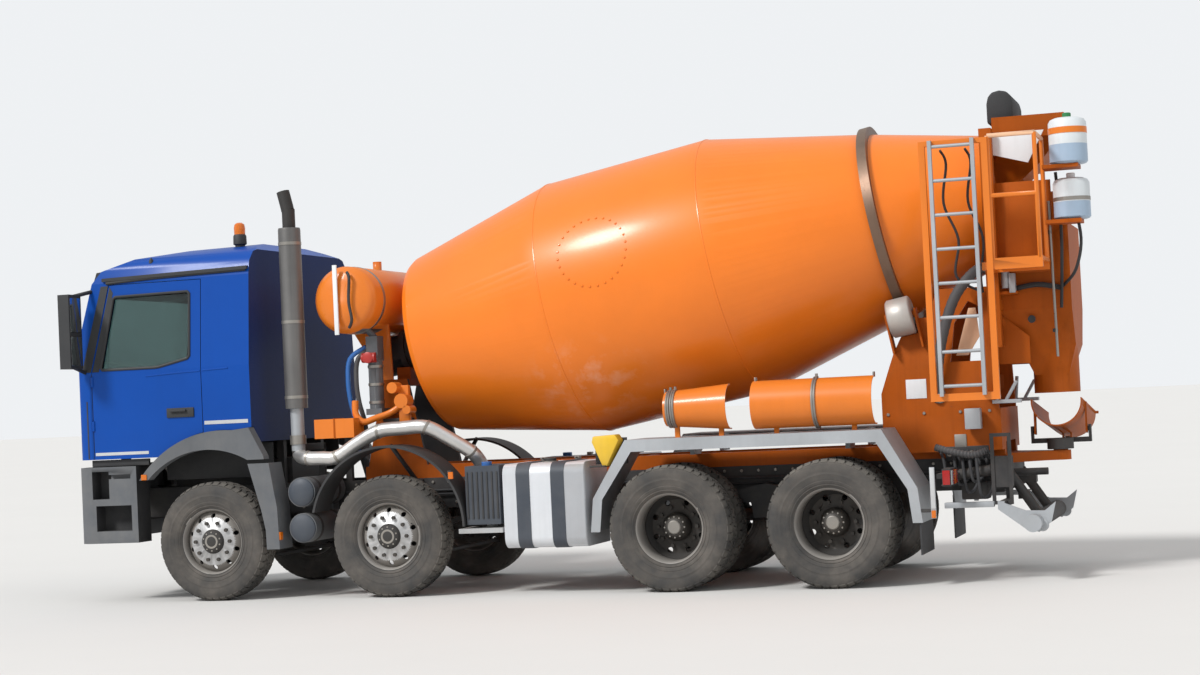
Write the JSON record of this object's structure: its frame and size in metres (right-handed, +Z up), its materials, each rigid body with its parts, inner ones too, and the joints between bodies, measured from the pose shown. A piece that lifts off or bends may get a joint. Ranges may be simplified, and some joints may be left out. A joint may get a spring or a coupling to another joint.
{
  "type": "concrete mixer truck",
  "caption": "Cab-over concrete mixer truck with an inclined turning drum, feed hopper, swinging discharge chute, ladder with platform and a tilting cab.",
  "frame": {"origin": "middle of the bounding box on the ground", "axes": "+X towards the rear of the truck, +Y towards its right-hand side, +Z up"},
  "size_m": [9.2, 2.9, 4.05],
  "materials": {
    "orange_paint": "gloss",
    "blue_paint": "gloss",
    "dark_paint": "satin",
    "grey_plastic": "satin",
    "bare_steel": "satin",
    "polished_alloy": "satin",
    "dull_alloy": "matt",
    "wheel_paint": "satin",
    "tyre_rubber": "matt",
    "cab_glass": "clear",
    "inside_plastic": "matt",
    "lamp_plastic": "gloss",
    "canister_plastic": "satin",
    "ring_steel": "worn"
  },
  "bodies": {
    "truck": {"chassis_frame": "dark_paint", "engine_block": "dark_paint", "axles": "dark_paint", "bumper": "grey_plastic", "front_mudguards": "inside_plastic", "rear_mudguards": "dull_alloy", "side_boxes": "grey_plastic", "fuel_tank": "polished_alloy", "exhaust": "dark_paint", "lamps": "lamp_plastic", "upper_frame": "orange_paint", "rear_pedestal": "orange_paint", "drum_drive": "dark_paint", "water_tank": "orange_paint", "feed_hopper": "orange_paint", "discharge_funnel": "orange_paint", "stored_chutes": "orange_paint", "platform": "orange_paint", "ladder": "polished_alloy", "canisters": "canister_plastic"},
    "knuckle_1_left": {"knuckle_1_left": "bare_steel"},
    "wheel_1_left": {"tyre_1_left": "tyre_rubber", "rim_1_left": "polished_alloy"},
    "knuckle_1_right": {"knuckle_1_right": "bare_steel"},
    "wheel_1_right": {"tyre_1_right": "tyre_rubber", "rim_1_right": "polished_alloy"},
    "tie_rod_1": {"tie_rod_1": "dark_paint"},
    "knuckle_2_left": {"knuckle_2_left": "bare_steel"},
    "wheel_2_left": {"tyre_2_left": "tyre_rubber", "rim_2_left": "polished_alloy"},
    "knuckle_2_right": {"knuckle_2_right": "bare_steel"},
    "wheel_2_right": {"tyre_2_right": "tyre_rubber", "rim_2_right": "polished_alloy"},
    "tie_rod_2": {"tie_rod_2": "dark_paint"},
    "wheels_3_left": {"tyres_3_left": "tyre_rubber", "rims_3_left": "wheel_paint"},
    "wheels_3_right": {"tyres_3_right": "tyre_rubber", "rims_3_right": "wheel_paint"},
    "wheels_4_left": {"tyres_4_left": "tyre_rubber", "rims_4_left": "wheel_paint"},
    "wheels_4_right": {"tyres_4_right": "tyre_rubber", "rims_4_right": "wheel_paint"},
    "drum": {"drum": "orange_paint", "track_ring": "ring_steel"},
    "roller_left": {"roller_left": "bare_steel"},
    "roller_right": {"roller_right": "bare_steel"},
    "cab": {"cab_shell": "blue_paint", "cab_trim": "grey_plastic", "windscreen": "cab_glass", "cab_interior": "inside_plastic"},
    "door_left": {"door_left": "blue_paint", "door_glass_left": "cab_glass"},
    "door_right": {"door_right": "blue_paint", "door_glass_right": "cab_glass"},
    "chute_carrier": {"chute_carrier": "dark_paint"},
    "chute": {"chute": "orange_paint"},
    "jack_barrel": {"jack_barrel": "dark_paint"},
    "jack_rod": {"jack_rod": "bare_steel"}
  },
  "joints": [
    {"name": "steer_1_left", "type": "hinge", "parent": "truck", "child": "knuckle_1_left", "pos_m": [-3.18, -0.835, 0.53], "axis": [0, 0, 1], "range_deg": [-38, 38]},
    {"name": "wheel_1_left_spin", "type": "hinge", "parent": "knuckle_1_left", "child": "wheel_1_left", "pos_m": [-3.18, -1.035, 0.53], "axis": [0, 1, 0], "continuous": true},
    {"name": "steer_1_right", "type": "hinge", "parent": "truck", "child": "knuckle_1_right", "pos_m": [-3.18, 0.835, 0.53], "axis": [0, 0, 1], "range_deg": [-38, 38]},
    {"name": "wheel_1_right_spin", "type": "hinge", "parent": "knuckle_1_right", "child": "wheel_1_right", "pos_m": [-3.18, 1.035, 0.53], "axis": [0, 1, 0], "continuous": true},
    {"name": "tie_rod_1_turn", "type": "hinge", "parent": "knuckle_1_left", "child": "tie_rod_1", "pos_m": [-2.92, -0.835, 0.35], "axis": [0, 0, 1], "range_deg": [-38, 38]},
    {"name": "steer_2_left", "type": "hinge", "parent": "truck", "child": "knuckle_2_left", "pos_m": [-1.48, -0.835, 0.53], "axis": [0, 0, 1], "range_deg": [-25, 25]},
    {"name": "wheel_2_left_spin", "type": "hinge", "parent": "knuckle_2_left", "child": "wheel_2_left", "pos_m": [-1.48, -1.035, 0.53], "axis": [0, 1, 0], "continuous": true},
    {"name": "steer_2_right", "type": "hinge", "parent": "truck", "child": "knuckle_2_right", "pos_m": [-1.48, 0.835, 0.53], "axis": [0, 0, 1], "range_deg": [-25, 25]},
    {"name": "wheel_2_right_spin", "type": "hinge", "parent": "knuckle_2_right", "child": "wheel_2_right", "pos_m": [-1.48, 1.035, 0.53], "axis": [0, 1, 0], "continuous": true},
    {"name": "tie_rod_2_turn", "type": "hinge", "parent": "knuckle_2_left", "child": "tie_rod_2", "pos_m": [-1.22, -0.835, 0.35], "axis": [0, 0, 1], "range_deg": [-25, 25]},
    {"name": "wheels_3_left_spin", "type": "hinge", "parent": "truck", "child": "wheels_3_left", "pos_m": [1.07, -0.91, 0.53], "axis": [0, 1, 0], "continuous": true},
    {"name": "wheels_3_right_spin", "type": "hinge", "parent": "truck", "child": "wheels_3_right", "pos_m": [1.07, 0.91, 0.53], "axis": [0, 1, 0], "continuous": true},
    {"name": "wheels_4_left_spin", "type": "hinge", "parent": "truck", "child": "wheels_4_left", "pos_m": [2.42, -0.91, 0.53], "axis": [0, 1, 0], "continuous": true},
    {"name": "wheels_4_right_spin", "type": "hinge", "parent": "truck", "child": "wheels_4_right", "pos_m": [2.42, 0.91, 0.53], "axis": [0, 1, 0], "continuous": true},
    {"name": "drum_spin", "type": "hinge", "parent": "truck", "child": "drum", "pos_m": [-1.375, 0, 2.208], "axis": [0.9825, 0, 0.1865], "continuous": true},
    {"name": "roller_left_spin", "type": "hinge", "parent": "truck", "child": "roller_left", "pos_m": [2.99516, -0.62, 2.19478], "axis": [0.9825, 0, 0.1865], "continuous": true},
    {"name": "roller_right_spin", "type": "hinge", "parent": "truck", "child": "roller_right", "pos_m": [2.99516, 0.62, 2.19478], "axis": [0.9825, 0, 0.1865], "continuous": true},
    {"name": "cab_tilt", "type": "hinge", "parent": "truck", "child": "cab", "pos_m": [-4.49, 0, 1.2], "axis": [0, -1, 0], "range_deg": [0, 60]},
    {"name": "door_left_open", "type": "hinge", "parent": "cab", "child": "door_left", "pos_m": [-4.33, -1.15, 1.9], "axis": [0, 0, -1], "range_deg": [0, 70]},
    {"name": "door_right_open", "type": "hinge", "parent": "cab", "child": "door_right", "pos_m": [-4.33, 1.15, 1.9], "axis": [0, 0, 1], "range_deg": [0, 70]},
    {"name": "chute_swing", "type": "hinge", "parent": "truck", "child": "chute_carrier", "pos_m": [4.18, 0, 1.08], "axis": [0, 0, -1], "range_deg": [0, 180]},
    {"name": "chute_tilt", "type": "hinge", "parent": "chute_carrier", "child": "chute", "pos_m": [4.18, 0.12, 1.19], "axis": [-1, 0, 0], "range_deg": [-8, 24]},
    {"name": "jack_barrel_turn", "type": "hinge", "parent": "chute_carrier", "child": "jack_barrel", "pos_m": [4.18, 0.175, 1.01], "axis": [-1, 0, 0], "range_deg": [-20, 40]},
    {"name": "jack_rod_slide", "type": "slide", "parent": "jack_barrel", "child": "jack_rod", "axis": [0, 0.9834, 0.1816], "range_m": [-0.2, 0.2]}
  ],
  "couplings": [
    {"joint": "steer_1_right", "follows": "steer_1_left", "ratio": 1},
    {"joint": "steer_2_left", "follows": "steer_1_left", "ratio": 0.65},
    {"joint": "steer_2_right", "follows": "steer_1_left", "ratio": 0.65},
    {"joint": "tie_rod_1_turn", "follows": "steer_1_left", "ratio": -1},
    {"joint": "tie_rod_2_turn", "follows": "steer_1_left", "ratio": -0.65},
    {"joint": "roller_left_spin", "follows": "drum_spin", "ratio": -5.4312},
    {"joint": "roller_right_spin", "follows": "drum_spin", "ratio": -5.4312},
    {"joint": "jack_barrel_turn", "follows": "chute_tilt", "ratio": 1.1187},
    {"joint": "jack_rod_slide", "follows": "chute_tilt", "m_per_rad": -0.1795}
  ]
}
